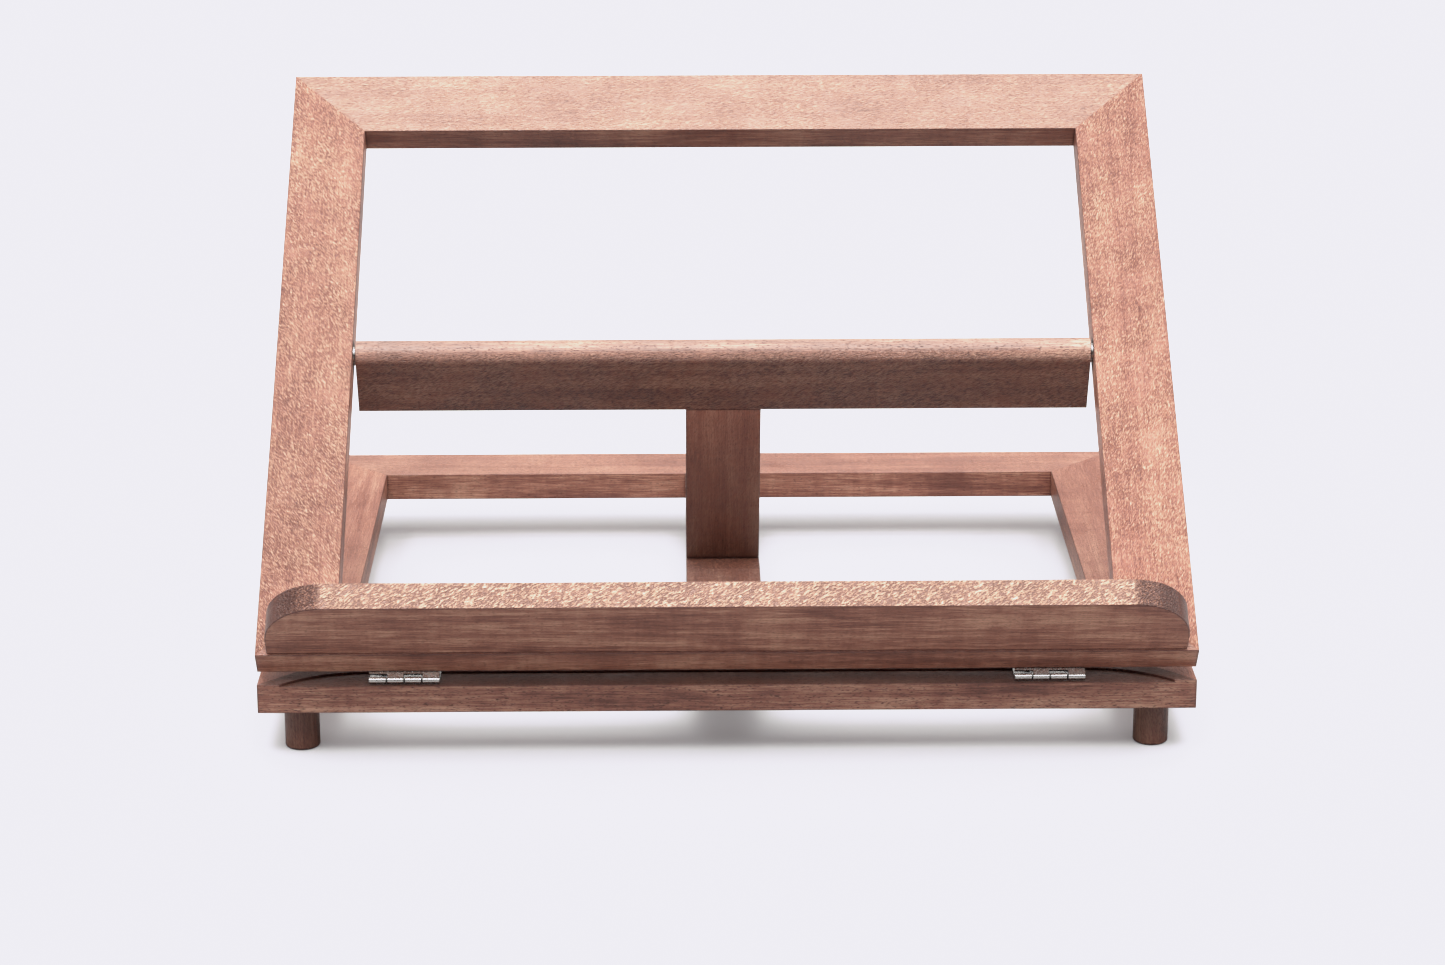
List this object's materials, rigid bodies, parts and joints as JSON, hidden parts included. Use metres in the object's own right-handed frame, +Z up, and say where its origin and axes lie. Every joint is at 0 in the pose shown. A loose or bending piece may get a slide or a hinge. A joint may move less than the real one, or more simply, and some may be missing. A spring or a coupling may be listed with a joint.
{
  "type": "photo album stand",
  "caption": "Folding wooden album stand: a mitred frame with a ledge tilts on hinges over a footed base and rests on a strut in a notched bar.",
  "frame": {"origin": "on the surface the stand rests on, at the middle of its outline seen from above", "axes": "+X to the user's right along the ledge, +Y from the user to the back of the base, +Z up"},
  "size_m": [0.4, 0.3529, 0.2444],
  "materials": {
    "stained_wood": "walnut-coloured stain, satin",
    "dowel_wood": "bare beech",
    "hinge_steel": "bright nickel plate",
    "screw_steel": "zinc plate"
  },
  "bodies": {
    "base": {"base_front_rail": "stained_wood", "base_rear_rail": "stained_wood", "base_left_rail": "stained_wood", "base_right_rail": "stained_wood", "rack_bar": "stained_wood", "foot_front_left": "stained_wood", "foot_rear_left": "stained_wood", "foot_front_right": "stained_wood", "foot_rear_right": "stained_wood", "base_corner_dowels": "dowel_wood", "rack_dowels": "dowel_wood", "left_hinge_base_leaf": "hinge_steel", "left_hinge_pin": "hinge_steel", "left_hinge_base_screws": "screw_steel", "right_hinge_base_leaf": "hinge_steel", "right_hinge_pin": "hinge_steel", "right_hinge_base_screws": "screw_steel"},
    "top_frame": {"frame_bottom_rail": "stained_wood", "frame_top_rail": "stained_wood", "frame_left_stile": "stained_wood", "frame_right_stile": "stained_wood", "frame_corner_dowels": "dowel_wood", "ledge": "stained_wood", "ledge_screws": "screw_steel", "left_pivot_washer": "hinge_steel", "right_pivot_washer": "hinge_steel", "left_hinge_frame_leaf": "hinge_steel", "left_hinge_frame_screws": "screw_steel", "right_hinge_frame_leaf": "hinge_steel", "right_hinge_frame_screws": "screw_steel"},
    "strut": {"strut_crossbar": "stained_wood", "strut_leg": "stained_wood", "strut_dowels": "dowel_wood", "left_pivot_pin": "hinge_steel", "right_pivot_pin": "hinge_steel"}
  },
  "joints": [
    {"name": "frame_tilt", "type": "hinge", "parent": "base", "child": "top_frame", "pos_m": [0, -0.15045, 0.0347], "axis": [1, 0, 0], "range_deg": [0, 52.7]},
    {"name": "strut_swing", "type": "hinge", "parent": "top_frame", "child": "strut", "pos_m": [0, -0.02274, 0.1423], "axis": [1, 0, 0], "range_deg": [0, 103.6]}
  ]
}
